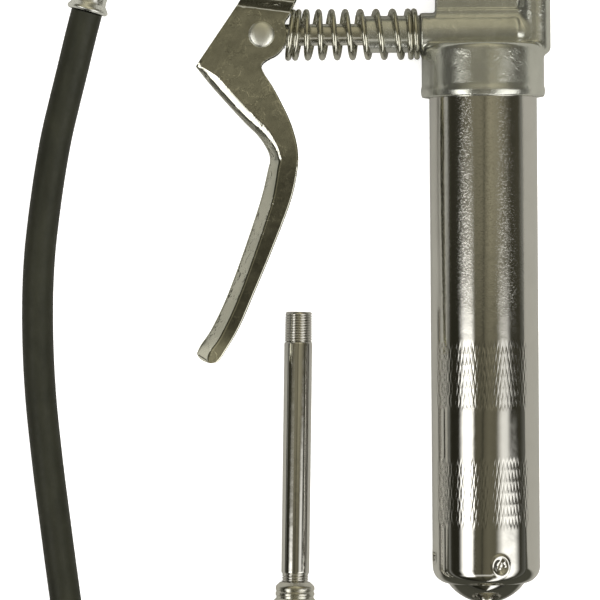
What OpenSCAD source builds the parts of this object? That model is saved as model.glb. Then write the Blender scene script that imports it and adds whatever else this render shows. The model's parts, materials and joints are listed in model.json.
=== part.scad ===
// Pistol-type mini grease gun with a trigger lever, a rigid delivery tube and a flexible hose.
// The pieces lie flat on a surface: X runs back from the outlet, Y runs up the barrel, Z is up.
// The origin is the mouth of the outlet port. All sizes are in millimetres.

/* [Barrel] */
// Outside radius of the barrel
barrel_r = 19.55; // [19:0.05:20]
// Wall of the barrel
barrel_wall = 1.0; // [0.8:0.1:1.5]
// Distance of the barrel's axis behind the outlet
barrel_x = 84; // [82:1:88]
// Lower end of the barrel
barrel_end_y = -233.9; // [-250:0.2:-220]

/* [Head] */
// Height of the plunger's axis, below the outlet's axis
plunger_y = -34; // [-36:1:-32]
// Radius of the collar that the barrel screws into
collar_r = 22.25; // [22:0.05:23]
// Lower edge of the collar
collar_y = -57.1; // [-60:0.1:-54]
// Radius of the outlet arm
arm_r = 7.5; // [7:0.1:8]
// Radius of the bore for the plunger
pump_bore_r = 4.0; // [3.5:0.05:4.5]
// Radius of the plain wall of the 1/8 inch threads, on the pitch line
port_r = 4.8; // [4.7:0.05:4.9]

/* [Lever] */
// Pivot of the lever, in X and Y
pivot = [12.5, -11];
// Thickness of the pressed steel sheet
sheet = 1.6; // [1.2:0.1:2]
// Rest position of the plunger's pin, in X
pin_x = 3.7; // [3:0.1:5]

/* [Delivery tube] */
// Radius of the rigid tube, 1/8 inch pipe
tube_r = 5.15; // [5:0.05:5.3]
// Length of the tube to the coupler
tube_len = 99.4; // [90:0.2:120]
// Turn of the tube in the plane of the table, degrees
tube_yaw = 1.2; // [0:0.1:3]

/* [Hose] */
// Radius of the hose
hose_r = 5.75; // [5:0.05:6.5]

/* [Hidden] */
$fn = 64;

running = 0.05;           // radial clearance of a shaft in its hole
slip = 0.3;               // clearance between faces that pass each other

// Head: the pump cylinder, the column behind it, the outlet arm and the web between them.
boss_r = 6.75;            // nose of the pump cylinder, inside the return spring
pump_r = 7.7;             // pump cylinder behind the spring
boss_x = 41;              // front face of the nose
spring_x = [12.6, 61.2];  // return spring, from the lever to the shoulder of the pump cylinder
spring_lean = 0.2;        // slope of its first coil, which rests on the lever's rounded edges
column_x = 102.8;
column_r = 5.8;
column_half_z = 1.7;
web_x = 66.8;
web_z = 4.5;
panel_z = 3.6;
panel_y = -25.3;
bead_r = 22.55;
bead_h = 4.2;
collar_top = -37.8;
gasket_h = 1.5;
socket_top = -41;         // inner face of the head, above the gasket
barrel_top = socket_top - gasket_h;
chamber_r = 3.2;
ball_r = 2.5;
seat_r = 2.0;
seat_y = -27.5;
plug_y = 3.6;             // inner end of the check valve's plug
column_top = 8.4;
port_len = 11;
inlet_x = 76.5;           // hole from the barrel up into the pump bore

// Lever
lug_r = 6.3;
rivet_r = 2.5;
head_r = 4.7;             // domed heads of the rivets
lever_top_r = 7.5;        // rounding of the cheeks about the pivot
pin_offset = [pin_x, plunger_y];
gap_top = arm_r + slip;   // half gap of the cheeks beside the outlet arm
gap_pin = 4.6;            // half gap of the cheeks beside the plunger
gap_grip = 5.9;           // half gap of the cheeks in the handle
joggle_y = [-24.6, -21];
joggle_turn = -7.5;       // the bend lines fall towards the barrel
flare_y = [-46, -62];

// Plunger
plunger_r = pump_bore_r - running;
eye_half_z = 4.2;
eye_r = 6.2;
plunger_tip = 72;
slot_drop = 1.7;          // height that the pin moves in the eye's slot
slot_play = 0.25;

// Barrel
shoulder_r = 6;
lip_r = 15;
cap_r = barrel_r - barrel_wall - 0.02;
rod_r = 3;
rod_hole_r = rod_r + running;
dome_r = 17;              // radius of the end cap's dome
dome_h = 7.4;             // height of the dome beyond the barrel
dome_wall = 1.2;
cap_skirt = 13;
follower_y = -47;         // upper face of the follower's rubber cup
cup_r = barrel_r - barrel_wall - running;
knob_y = barrel_end_y - dome_h - 0.3;
spring_low = barrel_end_y + barrel_wall + shoulder_r + 1.5;   // seat of the follower spring

// Loose pieces rest on the same surface as the gun
floor_z = -bead_r;
coupler_r = 8.05;
coupler_neck = 7.2;
neck_round = 2;
tube_thread_len = 11;
tube_top = [16.4, -134.9, floor_z + tube_r];
tube_pitch = asin((coupler_r - tube_r) / (tube_len + 6.5));
ferrule_r = 6.1;
rim_r = 7.7;
ferrule_len = 23;
nipple_hex_r = 7.2;
nipple_hex_len = 7;
nipple_len = 10;

// Route of the hose's centre line, from the inlet ferrule to the outlet ferrule
hose_route = [[-60.55, -24.1, -14.9], [-63.25, -34, -15.6], [-66.3, -46, -16.4],
    [-69.4, -58, -16.8], [-72.3, -70, -16.8], [-74.9, -84, -16.8], [-77, -98, -16.8],
    [-78.7, -112, -16.8], [-79.6, -126, -16.8], [-79.8, -140, -16.8], [-79.5, -154, -16.8],
    [-78.7, -168, -16.8], [-77.4, -182, -16.8], [-75.9, -196, -16.8], [-74.2, -210, -16.8],
    [-72.5, -224, -16.8], [-70.7, -238, -16.5], [-68.8, -252, -15.7], [-67.1, -264, -14.9],
    [-66.2, -270.5, -14.5]];
hose_sides = 12;

// ---- functions ----

// Smooth curve through points (Catmull-Rom), steps pieces per span
function spline(p, steps) = let (n = len(p))
    [for (i = [0 : n - 2], k = [0 : steps - (i == n - 2 ? 0 : 1)])
        let (t = k / steps, a = p[max(i - 1, 0)], b = p[i], c = p[i + 1], d = p[min(i + 2, n - 1)])
        0.5 * (2 * b + (c - a) * t + (2 * a - 5 * b + 4 * c - d) * t * t
            + (3 * b - 3 * c + d - a) * t * t * t)];

// Unit direction of a path at point i
function heading(p, i) = let (d = p[min(i + 1, len(p) - 1)] - p[max(i - 1, 0)]) d / norm(d);

// A flat path moved sideways by t
function beside(p, t) = [for (i = [0 : len(p) - 1]) let (d = heading(p, i)) p[i] + t * [-d.y, d.x]];

function reversed(p) = [for (i = [len(p) - 1 : -1 : 0]) p[i]];

// Faces of a closed tube of rings that each have the same number of sides
function tube_faces(rings, sides) = concat(
    [[for (k = [sides - 1 : -1 : 0]) k]],
    [for (i = [0 : rings - 2], k = [0 : sides - 1], half = [0, 1])
        let (a = i * sides + k, b = i * sides + (k + 1) % sides)
        half == 0 ? [a, b, b + sides] : [a, b + sides, a + sides]],
    [[for (k = [0 : sides - 1]) (rings - 1) * sides + k]]);

// ---- placing ----

module about_barrel() {
    translate([barrel_x, 0, 0]) rotate([-90, 0, 0]) children();
}

module along_x(x, y) {
    translate([x, y, 0]) rotate([0, 90, 0]) children();
}

module along_y(x, y) {
    translate([x, y, 0]) rotate([-90, 0, 0]) children();
}

// Local Z runs from the tube's threaded end down to its coupler
module on_tube() {
    translate(tube_top) rotate([0, 0, -tube_yaw]) rotate([-tube_pitch, 0, 0])
        rotate([90, 0, 0]) children();
}

// Local Z runs out of the hose's inlet end
module on_hose_inlet() {
    d = hose_route[0] - hose_route[1];
    translate(hose_route[0]) rotate([0, 0, -atan2(d.x, d.y)]) rotate([-90, 0, 0]) children();
}

// Local Z runs out of the hose's outlet end
module on_hose_outlet() {
    n = len(hose_route);
    d = hose_route[n - 1] - hose_route[n - 2];
    translate(hose_route[n - 1]) rotate([0, 0, atan2(d.x, -d.y)]) rotate([90, 0, 0]) children();
}

// ---- shared shapes ----

// Helical spring of round wire along local Z, with closed end coils
// lean tips the first coils towards +Y and fades out over lean_turns. start is the angle of the wire's end.
// even is 1 for evenly spaced coils; below 1 they stand closer together at the low end.
module coil(r, wire, length, turns, closed = 1.5, steps = 16, sides = 6, lean = 0, lean_turns = 5.25,
    start = 0, even = 1) {
    n = ceil(turns * steps);
    open_turns = turns - 2 * closed;
    shut = wire * 1.06;
    pitch = (length - wire - shut * 2 * closed) / open_turns;
    function spread(u) = pitch * open_turns * (even * u + (1 - even) * u * u);
    function rise(t) = shut * min(t, closed) + spread(max(0, min((t - closed) / open_turns, 1)))
        + shut * max(0, t - closed - open_turns);
    pts = [for (i = [0 : n], k = [0 : sides - 1])
        let (t = i * turns / n, a = 360 * k / sides, turn = start + 360 * t)
        [(r + wire / 2 * cos(a)) * cos(turn), (r + wire / 2 * cos(a)) * sin(turn),
            wire / 2 + rise(t) + lean * r * sin(turn) * max(0, 1 - t / lean_turns)
                + wire / 2 * sin(a) * 0.98]];
    polyhedron(points = pts, faces = [for (f = tube_faces(n + 1, sides)) reversed(f)]);
}

module ring(outer, inner, h) {
    difference() {
        cylinder(r = outer, h = h);
        translate([0, 0, -1]) cylinder(r = inner, h = h + 2);
    }
}

// Round bar with rounded ends in a section of two circles and a square
module stadium(r, half) {
    translate([0, half]) circle(r = r);
    translate([0, -half]) circle(r = r);
    translate([-r, -half]) square([2 * r, 2 * half]);
}

// Rivet along Z with a domed head at both ends
module rivet(length) {
    cylinder(r = rivet_r, h = length + 0.4, center = true);
    for (s = [0, 1]) mirror([0, 0, s]) translate([0, 0, length / 2]) rotate_extrude() {
        intersection() {
            translate([0, -3.1]) circle(r = 5.7);
            square([head_r, 4]);
        }
    }
}

// ---- head ----

module collar_section() {
    translate([0, collar_y + bead_h / 2])
        square([collar_r, collar_top - 2.4 - collar_y - bead_h / 2]);
    translate([bead_r - bead_h / 2, collar_y + bead_h / 2]) circle(r = bead_h / 2);
    translate([0, collar_y]) square([bead_r - bead_h / 2, bead_h]);
    translate([collar_r - 2.4, collar_top - 2.4]) circle(r = 2.4);
    translate([0, collar_top - 4]) square([collar_r - 2.4, 4]);
}

module head_column() {
    intersection() {
        along_y(column_x, -40) linear_extrude(column_top + 40) stadium(column_r, column_half_z);
        translate([0, 0, -10]) linear_extrude(20) {
            translate([90, -36]) square([column_x + column_r - 90, 60]);
            translate([column_x, -36]) circle(r = column_r);
            translate([90, -40]) square([column_x - 90, 10]);
        }
    }
}

module head_arm() {
    along_x(0, 0) cylinder(r = arm_r, h = column_x - 1.7);
    translate([column_x - 1.7, 0, 0]) sphere(r = arm_r);
    translate([pivot.x, pivot.y, 0]) cylinder(r = lug_r, h = 2 * arm_r, center = true);
    translate([pivot.x - lug_r, pivot.y, -arm_r]) cube([2 * lug_r, -pivot.y, 2 * arm_r]);
}

module head_casting() {
    color("silver") difference() {
        union() {
            about_barrel() rotate_extrude() collar_section();
            along_x(boss_x, plunger_y) cylinder(r = boss_r, h = 30);
            along_x(spring_x[1], plunger_y) cylinder(r = pump_r, h = 33);
            translate([spring_x[1] + 33, plunger_y, 0]) sphere(r = pump_r);
            translate([web_x, plunger_y, -web_z])
                cube([column_x - web_x, panel_y - plunger_y, 2 * web_z]);
            translate([web_x, plunger_y, -panel_z])
                cube([column_x - web_x, -plunger_y, 2 * panel_z]);
            head_column();
            head_arm();
        }
        about_barrel() translate([0, 0, collar_y - 1])
            cylinder(r = barrel_r + running, h = socket_top - collar_y + 1);
        along_x(boss_x - 1, plunger_y) cylinder(r = pump_bore_r, h = column_x - boss_x + 1);
        along_x(boss_x - 1, plunger_y) cylinder(r = 5.5, h = 4);
        along_y(inlet_x, socket_top - 1) cylinder(r = 2.2, h = -socket_top + plunger_y + 1);
        along_y(column_x, plunger_y) cylinder(r = seat_r, h = 30);
        along_y(column_x, seat_y) cylinder(r = chamber_r, h = column_top - seat_y + 1);
        along_y(column_x, plug_y) cylinder(r = 4, h = column_top - plug_y + 1);
        along_x(-1, 0) cylinder(r = port_r, h = port_len + 1);
        along_x(0, 0) cylinder(r = 2, h = column_x);
        translate([pivot.x, pivot.y, 0]) cylinder(r = rivet_r + running, h = 40, center = true);
    }
}

module barrel_gasket() {
    color("dimgray") about_barrel() translate([0, 0, barrel_top])
        ring(barrel_r - 0.05, barrel_r - 4, gasket_h);
}

module plunger_seal() {
    color("dimgray") along_x(boss_x, plunger_y) ring(5.5, pump_bore_r, 3);
}

module check_ball() {
    color("lightgray") translate([column_x, seat_y + sqrt(ball_r * ball_r - seat_r * seat_r) + 0.02, 0])
        sphere(r = ball_r);
}

module check_spring() {
    ball_top = seat_y + sqrt(ball_r * ball_r - seat_r * seat_r) + ball_r;
    color("lightgray") along_y(column_x, ball_top - 0.9)
        coil(2.1, 0.6, plug_y - ball_top + 0.85, 9, 1, 12, 6);
}

module check_plug() {
    color("silver") difference() {
        union() {
            along_y(column_x, plug_y) cylinder(r = 4, h = 8);
            along_y(column_x, column_top) cylinder(r = 6.4, h = 4.6, $fn = 6);
        }
        along_y(column_x, plug_y - 1) cylinder(r = 2.5, h = 3.5);
    }
}

// ---- lever ----

// Front edge, from above the bend down to the tip of the handle
front_top = [[6.1, -7.1], [-18.6, -43]];
front_edge = spline([[-20.2, -45.4], [-14.1, -53], [-3.6, -64.7], [2.2, -70.6], [5.8, -76.3],
    [6.4, -79.6], [5.7, -82.6], [2.9, -93.8], [-3, -111.2], [-9.6, -128.6],
    [-15.3, -140.4], [-19.4, -146.4], [-20.8, -149.4]], 5);
// Rear edge of the handle, from its tip up to the notch below the plunger's pin
rear_edge = spline([[-12.6, -152], [-10.6, -149.2], [-5.3, -140.3], [-0.1, -128.7],
    [7.3, -111.3], [14, -93.9], [16.5, -82.3], [16.6, -76], [15.4, -70], [13.5, -64.5],
    [10.9, -59], [7.7, -53], [4.6, -48.2], [3.5, -45.6]], 5);
// Rounded rear lobe of the cheeks behind the plunger's pin
lobe = concat([[4.4, -44.3]],
    [for (a = [-60 : 8 : 4]) pin_offset + 9.1 * [cos(a), sin(a)]], [[14, -26.4]]);
handle_tip = [[-18.8, -151.8], [-15.6, -152.9]];

module lever_outline() {
    polygon(concat(front_top, front_edge, handle_tip, rear_edge, lobe,
        [[pivot.x + lever_top_r, pivot.y - 2]]));
    translate(pivot) circle(r = lever_top_r);
}

// Half width of the lever's outside at each height
function half_section(extra) = [[10, gap_top + extra], [joggle_y[1], gap_top + extra],
    [joggle_y[0], gap_pin + extra], [flare_y[0], gap_pin + extra],
    [flare_y[1], gap_grip + extra], [-170, gap_grip + extra]];

// Section across the lever, drawn as X = height and Y = half width, run along the bend lines
module across(points) {
    middle = [pin_x, joggle_y[0], 0];
    translate(middle) rotate([0, 0, joggle_turn]) translate(-middle)
        translate([-60, 0, 0]) rotate([90, 0, 90]) linear_extrude(120) polygon(points);
}

module lever_sheet() {
    for (s = [0, 1]) mirror([0, 0, s]) intersection() {
        translate([0, 0, -1]) linear_extrude(20) lever_outline();
        across(concat(half_section(0), reversed(half_section(sheet))));
    }
}

module lever_web() {
    outer = half_section(sheet);
    intersection() {
        translate([0, 0, -20]) linear_extrude(40)
            polygon(concat(front_edge, handle_tip, [[-13.8, -151.2]],
                reversed(beside(front_edge, sheet))));
        across(concat(outer, [for (p = reversed(outer)) [p.x, -p.y]]));
    }
}

module lever() {
    color("darkgray") difference() {
        union() {
            lever_sheet();
            lever_web();
        }
        for (p = [pivot, pin_offset])
            translate([p.x, p.y, 0]) cylinder(r = rivet_r, h = 60, center = true);
    }
}

module lever_pivot_rivet() {
    color("silver") translate([pivot.x, pivot.y, 0]) rivet(2 * (gap_top + sheet));
}

module plunger_rivet() {
    color("silver") translate([pin_offset.x, pin_offset.y, 0]) rivet(2 * (gap_pin + sheet));
}

// ---- plunger ----

module plunger() {
    color("silver") difference() {
        union() {
            along_x(pin_x, plunger_y) cylinder(r = plunger_r, h = plunger_tip - pin_x);
            translate([pin_x, plunger_y - slot_drop / 2, -eye_half_z])
                cylinder(r = eye_r, h = 2 * eye_half_z);
            translate([pin_x, plunger_y - 4.4, -eye_half_z]) cube([7, 8.8, 2 * eye_half_z]);
        }
        translate([0, 0, -10]) linear_extrude(20) translate([pin_x, plunger_y - slot_drop / 2])
            stadium(rivet_r + slot_play, slot_drop / 2 + 0.1);
    }
}

module return_spring() {
    color("lightgray") along_x(spring_x[0], plunger_y)
        coil(8.35, 2.1, spring_x[1] - spring_x[0], 10.5, 1.65, 18, 8, spring_lean, 5.25, 90,
            0.84);
}

// ---- barrel and follower ----

module barrel_tube() {
    end = barrel_end_y;
    color("gainsboro") about_barrel() rotate_extrude() difference() {
        union() {
            translate([0, end + shoulder_r]) square([barrel_r, barrel_top - end - shoulder_r]);
            translate([barrel_r - shoulder_r, end + shoulder_r]) circle(r = shoulder_r);
            translate([0, end]) square([barrel_r - shoulder_r, shoulder_r]);
        }
        translate([0, end + shoulder_r])
            square([barrel_r - barrel_wall, barrel_top - end]);
        translate([barrel_r - shoulder_r, end + shoulder_r]) circle(r = shoulder_r - barrel_wall);
        translate([0, end + barrel_wall]) square([barrel_r - shoulder_r, shoulder_r]);
        translate([0, end - 1]) square([lip_r, 3]);
    }
}

module barrel_end_cap() {
    end = barrel_end_y + barrel_wall;
    dome_y = barrel_end_y - dome_h + dome_r;
    color("silver") about_barrel() rotate_extrude() difference() {
        union() {
            translate([0, end + shoulder_r]) square([cap_r, cap_skirt - shoulder_r]);
            translate([0, end + 2.2]) square([cap_r - 2.6, cap_skirt - 2.2]);
            intersection() {
                translate([0, dome_y]) circle(r = dome_r);
                translate([0, barrel_end_y - dome_h]) square([dome_r, dome_h + 4]);
            }
        }
        intersection() {
            translate([0, dome_y]) circle(r = dome_r - dome_wall);
            translate([0, barrel_end_y - dome_h]) square([cap_r - 6, dome_h + 4]);
        }
        translate([0, barrel_end_y + 3.9]) square([cap_r - 6, 40]);
        translate([0, end + shoulder_r + 1.5]) square([cap_r - 1.5, 40]);
        translate([0, barrel_end_y - 20]) square([rod_hole_r, 60]);
    }
}

module follower_rod() {
    length = follower_y + 3 - (knob_y - 8);
    color("silver") about_barrel() translate([0, 0, knob_y - 8]) cylinder(r = rod_r, h = length);
}

module rod_knob() {
    color("silver") about_barrel() difference() {
        rotate_extrude() {
            translate([0, knob_y - 8]) square([4.5, 8]);
            polygon([[0, knob_y - 9], [4.5, knob_y - 5], [7.5, knob_y - 8.02], [0, knob_y - 12]]);
            translate([0, knob_y - 13]) square([7.5, 5]);
            translate([7.5, knob_y - 10.5]) circle(r = 2.5);
        }
        translate([0, 0, knob_y - 8]) cylinder(r = rod_r, h = 20);
    }
}

module follower_cup() {
    color("dimgray") about_barrel() rotate_extrude() difference() {
        translate([0, follower_y - 9]) square([cup_r, 9]);
        translate([0, follower_y - 10]) square([cup_r - 2.5, 7]);
        translate([0, follower_y - 20]) square([rod_r, 30]);
    }
}

module follower_plate() {
    color("silver") about_barrel() translate([0, 0, follower_y - 4.5])
        ring(cup_r - 3, rod_r, 1.5);
}

module follower_nut() {
    color("silver") about_barrel() translate([0, 0, follower_y]) difference() {
        cylinder(r = 5.8, h = 2.6, $fn = 6);
        translate([0, 0, -1]) cylinder(r = rod_r, h = 10);
    }
}

module follower_spring() {
    low = spring_low;
    color("lightgray") about_barrel() translate([0, 0, low])
        coil(9.5, 1.6, follower_y - 4.5 - low, 17, 1.5, 14, 6);
}

// ---- delivery tube, couplers and hose ----

// The coupler runs down local Z from its threaded collar at 0 to its mouth
coupler_len = 42;
coupler_thread = 9;
sleeve_z = 6;
spigot_len = 14;
jaw_z = [28.5, 38];
jaw_r = 5.5;
mouth_r = 4.4;

module coupler_body() {
    color("silver") difference() {
        union() {
            rotate_extrude() difference() {
                union() {
                    square([coupler_neck - neck_round, sleeve_z]);
                    translate([0, neck_round]) square([coupler_neck, sleeve_z - neck_round]);
                    translate([coupler_neck - neck_round, neck_round]) circle(r = neck_round);
                }
                translate([coupler_neck, 3.7]) circle(r = 0.4);
            }
            cylinder(r = 6, h = spigot_len);
        }
        translate([0, 0, -1]) cylinder(r = port_r, h = coupler_thread + 1);
        cylinder(r = 1.6, h = spigot_len + 1);
    }
}

module coupler_sleeve() {
    color("silver") rotate_extrude() difference() {
        polygon([[0, sleeve_z], [7.5, sleeve_z], [coupler_r, sleeve_z + 0.8],
            [coupler_r, coupler_len - 6], [6.6, coupler_len], [0, coupler_len]]);
        square([6, coupler_len - 6]);
        polygon([[0, coupler_len - 6.01], [6, coupler_len - 6.01], [mouth_r, coupler_len - 3.6],
            [mouth_r, coupler_len + 1], [0, coupler_len + 1]]);
    }
}

module coupler_jaws() {
    color("lightgray") difference() {
        rotate_extrude() polygon([[3.35, jaw_z[0]], [jaw_r, jaw_z[0]], [jaw_r, coupler_len - 6.2],
            [mouth_r + 0.1, jaw_z[1]], [3.35, jaw_z[1]]]);
        for (a = [0, 90]) rotate([0, 0, a])
            translate([-10, -0.4, jaw_z[0] - 1]) cube([20, 0.8, 20]);
    }
}

module coupler_seal() {
    color("dimgray") translate([0, 0, jaw_z[0] - 3]) ring(jaw_r, 1.2, 3);
}

module coupler_spring() {
    color("lightgray") translate([0, 0, spigot_len])
        coil(4.6, 0.9, jaw_z[0] - 3 - spigot_len, 5, 1, 14, 6);
}

module rigid_tube() {
    color("gainsboro") on_tube() difference() {
        union() {
            cylinder(r = port_r - running, h = tube_len + coupler_thread - 0.5);
            translate([0, 0, tube_thread_len]) cylinder(r = tube_r, h = tube_len - tube_thread_len - 3);
        }
        translate([0, 0, -1]) cylinder(r = 2.4, h = tube_len + 20);
    }
}

module on_tube_coupler() {
    on_tube() translate([0, 0, tube_len]) children();
}

module hose() {
    n = len(hose_route);
    pts = [for (i = [0 : n - 1], k = [0 : hose_sides - 1])
        let (d = heading(hose_route, i), side = [-d.y, d.x, 0] / norm([d.x, d.y]),
            a = 360 * k / hose_sides)
        hose_route[i] + hose_r * (cos(a) * side + sin(a) * [0, 0, 1])];
    color("#2b2d24") polyhedron(points = pts, faces = tube_faces(n, hose_sides));
}

// Crimped ferrule with its flared rim at local 0, towards the hose
module ferrule() {
    color("silver") difference() {
        rotate_extrude() {
            translate([rim_r - 0.7, 0.9]) circle(r = 0.7);
            polygon([[0, 0], [hose_r, 0], [rim_r - 0.7, 0.2], [rim_r, 0.9], [rim_r - 0.2, 1.4],
                [ferrule_r, 3.4], [ferrule_r, ferrule_len], [0, ferrule_len]]);
        }
        translate([0, 0, ferrule_len - 2]) cylinder(r = port_r, h = 5);
    }
}

// Nipple that stands out of a ferrule: hexagon, then the thread
module nipple(thread_len) {
    color("silver") difference() {
        translate([0, 0, ferrule_len]) {
            translate([0, 0, -2]) cylinder(r = port_r, h = 2);
            cylinder(r = nipple_hex_r, h = nipple_hex_len, $fn = 6);
            translate([0, 0, nipple_hex_len]) cylinder(r = port_r - running, h = thread_len);
        }
        cylinder(r = 1.6, h = 60);
    }
}

module on_hose_coupler() {
    on_hose_outlet() translate([0, 0, ferrule_len + nipple_hex_len + 1.5]) children();
}

head_casting();
barrel_gasket();
plunger_seal();
check_ball();
check_spring();
check_plug();
lever();
lever_pivot_rivet();
plunger_rivet();
plunger();
return_spring();
barrel_tube();
barrel_end_cap();
follower_spring();
follower_rod();
rod_knob();
follower_cup();
follower_plate();
follower_nut();
rigid_tube();
on_tube_coupler() coupler_body();  // tube_coupler_body
on_tube_coupler() coupler_sleeve();  // tube_coupler_sleeve
on_tube_coupler() coupler_jaws();  // tube_coupler_jaws
on_tube_coupler() coupler_seal();  // tube_coupler_seal
on_tube_coupler() coupler_spring();  // tube_coupler_spring
hose();
on_hose_inlet() nipple(nipple_len);  // hose_inlet_nipple
on_hose_inlet() ferrule();  // hose_inlet_ferrule
on_hose_outlet() ferrule();  // hose_outlet_ferrule
on_hose_outlet() nipple(nipple_len);  // hose_outlet_nipple
on_hose_coupler() coupler_body();  // hose_coupler_body
on_hose_coupler() coupler_sleeve();  // hose_coupler_sleeve
on_hose_coupler() coupler_jaws();  // hose_coupler_jaws
on_hose_coupler() coupler_seal();  // hose_coupler_seal
on_hose_coupler() coupler_spring();  // hose_coupler_spring
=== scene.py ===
"""Looks of a mini grease gun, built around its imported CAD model.

The scene is in metres. Shapes are worked out in millimetres, in the CAD frame (X back from the outlet,
Y up the barrel, Z up), and are scaled by MM when their mesh is made.
"""
import itertools
import json
import math

import bmesh
import bpy
import numpy as np
from mathutils import Matrix, Vector


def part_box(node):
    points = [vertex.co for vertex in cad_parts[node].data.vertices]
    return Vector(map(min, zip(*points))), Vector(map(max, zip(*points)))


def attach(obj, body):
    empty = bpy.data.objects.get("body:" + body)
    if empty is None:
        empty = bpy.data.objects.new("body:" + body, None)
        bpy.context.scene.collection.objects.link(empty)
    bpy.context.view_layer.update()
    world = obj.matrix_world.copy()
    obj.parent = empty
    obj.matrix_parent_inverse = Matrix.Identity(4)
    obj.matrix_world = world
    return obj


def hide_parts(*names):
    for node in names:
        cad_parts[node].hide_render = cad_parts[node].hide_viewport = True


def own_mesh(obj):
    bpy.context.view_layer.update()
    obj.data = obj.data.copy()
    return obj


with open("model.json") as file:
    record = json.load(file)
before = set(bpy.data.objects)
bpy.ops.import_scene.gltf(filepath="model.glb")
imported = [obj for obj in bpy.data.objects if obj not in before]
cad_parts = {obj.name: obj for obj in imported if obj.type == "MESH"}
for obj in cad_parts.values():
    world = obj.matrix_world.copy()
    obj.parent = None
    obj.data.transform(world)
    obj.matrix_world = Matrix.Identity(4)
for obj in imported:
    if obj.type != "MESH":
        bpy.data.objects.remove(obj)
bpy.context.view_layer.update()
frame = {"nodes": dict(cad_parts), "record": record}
scene = bpy.context.scene
MM = 0.001


# ---------------------------------------------------------------- places, from the CAD model

def box_mm(node):
    """Lowest and highest corner of a CAD node, in millimetres."""
    low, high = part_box(node)
    return np.array(low) / MM, np.array(high) / MM


def mount_mm(name):
    """Place and outward axis of a mount, in millimetres."""
    mount = next(m for m in frame["record"]["mounts"] if m["name"] == name)
    return np.array(mount["pos_m"]) / MM, np.array(mount["axis"], float), mount["dims"]


barrel_low, barrel_high = box_mm("barrel_tube")
BARREL_X = (barrel_low[0] + barrel_high[0]) / 2
BARREL_R = (barrel_high[0] - barrel_low[0]) / 2
BARREL_END = barrel_low[1]
BARREL_TOP = barrel_high[1]
head_low, head_high = box_mm("head_casting")
COLLAR_END = head_low[1]
BEAD_R = head_high[2]
_, rod_high = box_mm("plunger")
PUMP_Y = -34.0  # height of the pump's axis
PLUNGER_R = 3.95
pivot_low, pivot_high = box_mm("lever_pivot_rivet")
PIVOT = (pivot_low + pivot_high) / 2
pin_low, pin_high = box_mm("plunger_rivet")
PIN = (pin_low + pin_high) / 2
_, spring_high = box_mm("return_spring")
dome_low, _ = box_mm("barrel_end_cap")
knob_low, knob_high = box_mm("rod_knob")
THREAD_R = 4.85
PITCH = 0.94
COUPLER_REACH = 40.2  # from the start of a coupler to the mount in its mouth


# ---------------------------------------------------------------- camera

def make_camera():
    data = bpy.data.cameras.new("camera")
    data.sensor_width = 36
    data.lens = 225
    data.clip_start = 0.05
    data.clip_end = 30
    camera = bpy.data.objects.new("camera", data)
    scene.collection.objects.link(camera)
    place = Vector((0.0171, -0.1088, 1.364))
    aim = Vector((0.0169, -0.1303, 0))
    back = (place - aim).normalized()
    upright = Vector((0.0079, 1, 0))  # the camera is turned half a degree against the gun
    right = upright.cross(back).normalized()
    up = back.cross(right)
    turn = Matrix((right, up, back)).transposed().to_4x4()
    camera.matrix_world = Matrix.Translation(place) @ turn
    scene.camera = camera


make_camera()


# ---------------------------------------------------------------- nodes

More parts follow.
